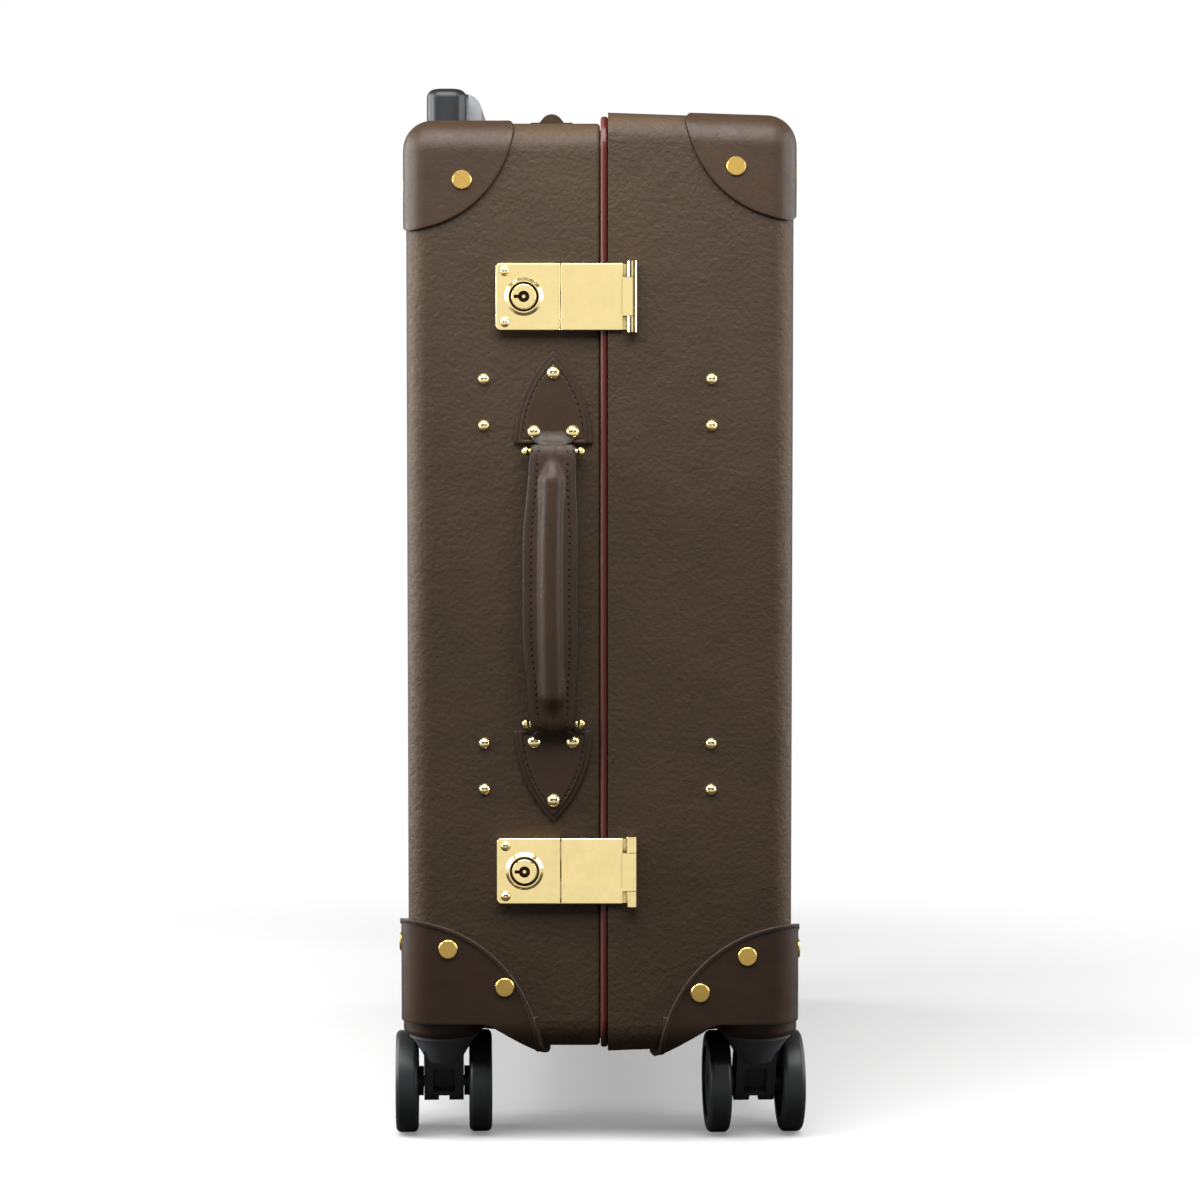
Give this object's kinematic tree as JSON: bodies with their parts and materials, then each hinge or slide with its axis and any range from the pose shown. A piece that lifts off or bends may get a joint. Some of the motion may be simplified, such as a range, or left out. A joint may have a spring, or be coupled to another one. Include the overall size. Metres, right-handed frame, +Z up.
{
  "type": "carry-on suitcase",
  "caption": "Hard carry-on suitcase of two hinged fibre trays with leather corners, key locks, leather handles, a telescopic trolley and swivel casters.",
  "frame": {"origin": "point on the floor under the middle of the case, in the plane of the seam's back edge", "axes": "+X from the back tray to the front tray, +Y from the lock side to the hinge side, +Z up from the floor"},
  "size_m": [0.2231, 0.4351, 0.5755],
  "materials": {
    "fibre": "lacquered vulcanised fibre, fine pebble grain, satin",
    "lining": "woven cloth, matt",
    "corner_leather": "smooth moulded leather, satin",
    "guard": "moulded, satin",
    "handle_leather": "smooth leather, dark stitching",
    "brass": "polished gold plate",
    "steel": "plain steel",
    "strap": "flat strap, matt",
    "band": "lacquered, glossy",
    "tube": "satin anodised",
    "trolley_plastic": "moulded, satin",
    "caster_plastic": "moulded, satin",
    "axle_steel": "plain steel",
    "wheel": "satin tread"
  },
  "bodies": {
    "back_case": {"back_shell": "fibre", "back_lining": "lining", "back_top_corners": "corner_leather", "back_base_guards": "guard", "back_corner_rivets": "brass", "back_dome_rivets": "brass", "back_packing_straps": "strap", "back_strap_buckles": "brass", "back_hinge_leaves": "brass", "back_caster_cups": "guard", "case_hinge_pins": "steel", "upper_lock_case": "brass", "lower_lock_case": "brass", "handle_chapes": "handle_leather", "handle_pins": "brass", "handle_rivets": "brass", "trolley_foot": "trolley_plastic", "trolley_outer_tubes": "tube", "trolley_bezel": "trolley_plastic"},
    "front_case": {"front_shell": "fibre", "front_lining": "lining", "front_top_corners": "corner_leather", "front_base_guards": "guard", "front_corner_rivets": "brass", "front_dome_rivets": "brass", "front_packing_straps": "strap", "front_strap_buckles": "brass", "front_hinge_leaves": "brass", "front_caster_cups": "guard", "rim_band": "band", "hasp_leaves": "brass", "hasp_pins": "steel"},
    "trolley_middle": {"trolley_middle_tubes": "tube"},
    "trolley_handle": {"trolley_inner_tubes": "tube", "trolley_grip": "trolley_plastic"},
    "trolley_button": {"trolley_button": "trolley_plastic"},
    "side_handle": {"side_handle_grip": "handle_leather"},
    "top_handle": {"top_handle_grip": "handle_leather"},
    "upper_hasp": {"upper_hasp": "brass"},
    "upper_key_barrel": {"upper_key_barrel": "brass"},
    "upper_lock_bolt": {"upper_lock_bolt": "steel"},
    "lower_hasp": {"lower_hasp": "brass"},
    "lower_key_barrel": {"lower_key_barrel": "brass"},
    "lower_lock_bolt": {"lower_lock_bolt": "steel"},
    "back_lock_caster": {"back_lock_fork": "caster_plastic", "back_lock_axle": "axle_steel"},
    "back_lock_wheel_in": {"back_lock_wheel_in": "wheel"},
    "back_lock_wheel_out": {"back_lock_wheel_out": "wheel"},
    "back_hinge_caster": {"back_hinge_fork": "caster_plastic", "back_hinge_axle": "axle_steel"},
    "back_hinge_wheel_in": {"back_hinge_wheel_in": "wheel"},
    "back_hinge_wheel_out": {"back_hinge_wheel_out": "wheel"},
    "front_lock_caster": {"front_lock_fork": "caster_plastic", "front_lock_axle": "axle_steel"},
    "front_lock_wheel_in": {"front_lock_wheel_in": "wheel"},
    "front_lock_wheel_out": {"front_lock_wheel_out": "wheel"},
    "front_hinge_caster": {"front_hinge_fork": "caster_plastic", "front_hinge_axle": "axle_steel"},
    "front_hinge_wheel_in": {"front_hinge_wheel_in": "wheel"},
    "front_hinge_wheel_out": {"front_hinge_wheel_out": "wheel"}
  },
  "joints": [
    {"name": "case_hinge", "type": "hinge", "parent": "back_case", "child": "front_case", "pos_m": [0.0021, 0.203, 0.3], "axis": [0, 0, 1], "range_deg": [0, 180]},
    {"name": "trolley_lower_stage", "type": "slide", "parent": "back_case", "child": "trolley_middle", "axis": [0, 0, 1], "range_m": [0, 0.23]},
    {"name": "trolley_upper_stage", "type": "slide", "parent": "trolley_middle", "child": "trolley_handle", "axis": [0, 0, 1], "range_m": [0, 0.23]},
    {"name": "trolley_release", "type": "slide", "parent": "trolley_handle", "child": "trolley_button", "axis": [0, 0, -1], "range_m": [0, 0.0025], "stiffness_N_per_m": 300},
    {"name": "side_handle_slack", "type": "slide", "parent": "back_case", "child": "side_handle", "axis": [0, -1, 0], "range_m": [0, 0.0028]},
    {"name": "top_handle_slack", "type": "slide", "parent": "back_case", "child": "top_handle", "axis": [0, 0, 1], "range_m": [0, 0.0028]},
    {"name": "upper_hasp_hinge", "type": "hinge", "parent": "front_case", "child": "upper_hasp", "pos_m": [0.0168, -0.2029, 0.451], "axis": [0, 0, 1], "range_deg": [0, 170]},
    {"name": "upper_key_turn", "type": "hinge", "parent": "back_case", "child": "upper_key_barrel", "pos_m": [-0.0398, -0.2016, 0.451], "axis": [0, 1, 0], "range_deg": [0, 90]},
    {"name": "upper_bolt_slide", "type": "slide", "parent": "back_case", "child": "upper_lock_bolt", "axis": [1, 0, 0], "range_m": [0, 0.00425]},
    {"name": "lower_hasp_hinge", "type": "hinge", "parent": "front_case", "child": "lower_hasp", "pos_m": [0.0168, -0.2029, 0.149], "axis": [0, 0, 1], "range_deg": [0, 170]},
    {"name": "lower_key_turn", "type": "hinge", "parent": "back_case", "child": "lower_key_barrel", "pos_m": [-0.0398, -0.2016, 0.149], "axis": [0, 1, 0], "range_deg": [0, 90]},
    {"name": "lower_bolt_slide", "type": "slide", "parent": "back_case", "child": "lower_lock_bolt", "axis": [1, 0, 0], "range_m": [0, 0.00425]},
    {"name": "back_lock_swivel", "type": "hinge", "parent": "back_case", "child": "back_lock_caster", "pos_m": [-0.0843, -0.172, 0.06], "axis": [0, 0, 1], "continuous": true},
    {"name": "back_lock_wheel_in_spin", "type": "hinge", "parent": "back_lock_caster", "child": "back_lock_wheel_in", "pos_m": [-0.06521, -0.15598, 0.0275], "axis": [0.9986, 0.0523, 0], "continuous": true},
    {"name": "back_lock_wheel_out_spin", "type": "hinge", "parent": "back_lock_caster", "child": "back_lock_wheel_out", "pos_m": [-0.10496, -0.15806, 0.0275], "axis": [0.9986, 0.0523, 0], "continuous": true},
    {"name": "back_hinge_swivel", "type": "hinge", "parent": "back_case", "child": "back_hinge_caster", "pos_m": [-0.0843, 0.172, 0.06], "axis": [0, 0, 1], "continuous": true},
    {"name": "back_hinge_wheel_in_spin", "type": "hinge", "parent": "back_hinge_caster", "child": "back_hinge_wheel_in", "pos_m": [-0.06364, 0.15806, 0.0275], "axis": [0.9986, 0.0523, 0], "continuous": true},
    {"name": "back_hinge_wheel_out_spin", "type": "hinge", "parent": "back_hinge_caster", "child": "back_hinge_wheel_out", "pos_m": [-0.10339, 0.15598, 0.0275], "axis": [0.9986, 0.0523, 0], "continuous": true},
    {"name": "front_lock_swivel", "type": "hinge", "parent": "front_case", "child": "front_lock_caster", "pos_m": [0.0843, -0.172, 0.06], "axis": [0, 0, 1], "continuous": true},
    {"name": "front_lock_wheel_in_spin", "type": "hinge", "parent": "front_lock_caster", "child": "front_lock_wheel_in", "pos_m": [0.06364, -0.15806, 0.0275], "axis": [0.9986, 0.0523, 0], "continuous": true},
    {"name": "front_lock_wheel_out_spin", "type": "hinge", "parent": "front_lock_caster", "child": "front_lock_wheel_out", "pos_m": [0.10339, -0.15598, 0.0275], "axis": [0.9986, 0.0523, 0], "continuous": true},
    {"name": "front_hinge_swivel", "type": "hinge", "parent": "front_case", "child": "front_hinge_caster", "pos_m": [0.0843, 0.172, 0.06], "axis": [0, 0, 1], "continuous": true},
    {"name": "front_hinge_wheel_in_spin", "type": "hinge", "parent": "front_hinge_caster", "child": "front_hinge_wheel_in", "pos_m": [0.06364, 0.18594, 0.0275], "axis": [0.9986, 0.0523, 0], "continuous": true},
    {"name": "front_hinge_wheel_out_spin", "type": "hinge", "parent": "front_hinge_caster", "child": "front_hinge_wheel_out", "pos_m": [0.10339, 0.18802, 0.0275], "axis": [0.9986, 0.0523, 0], "continuous": true}
  ],
  "couplings": [
    {"joint": "upper_bolt_slide", "follows": "upper_key_turn", "m_per_rad": 0.0027009},
    {"joint": "lower_bolt_slide", "follows": "lower_key_turn", "m_per_rad": 0.0027009}
  ]
}
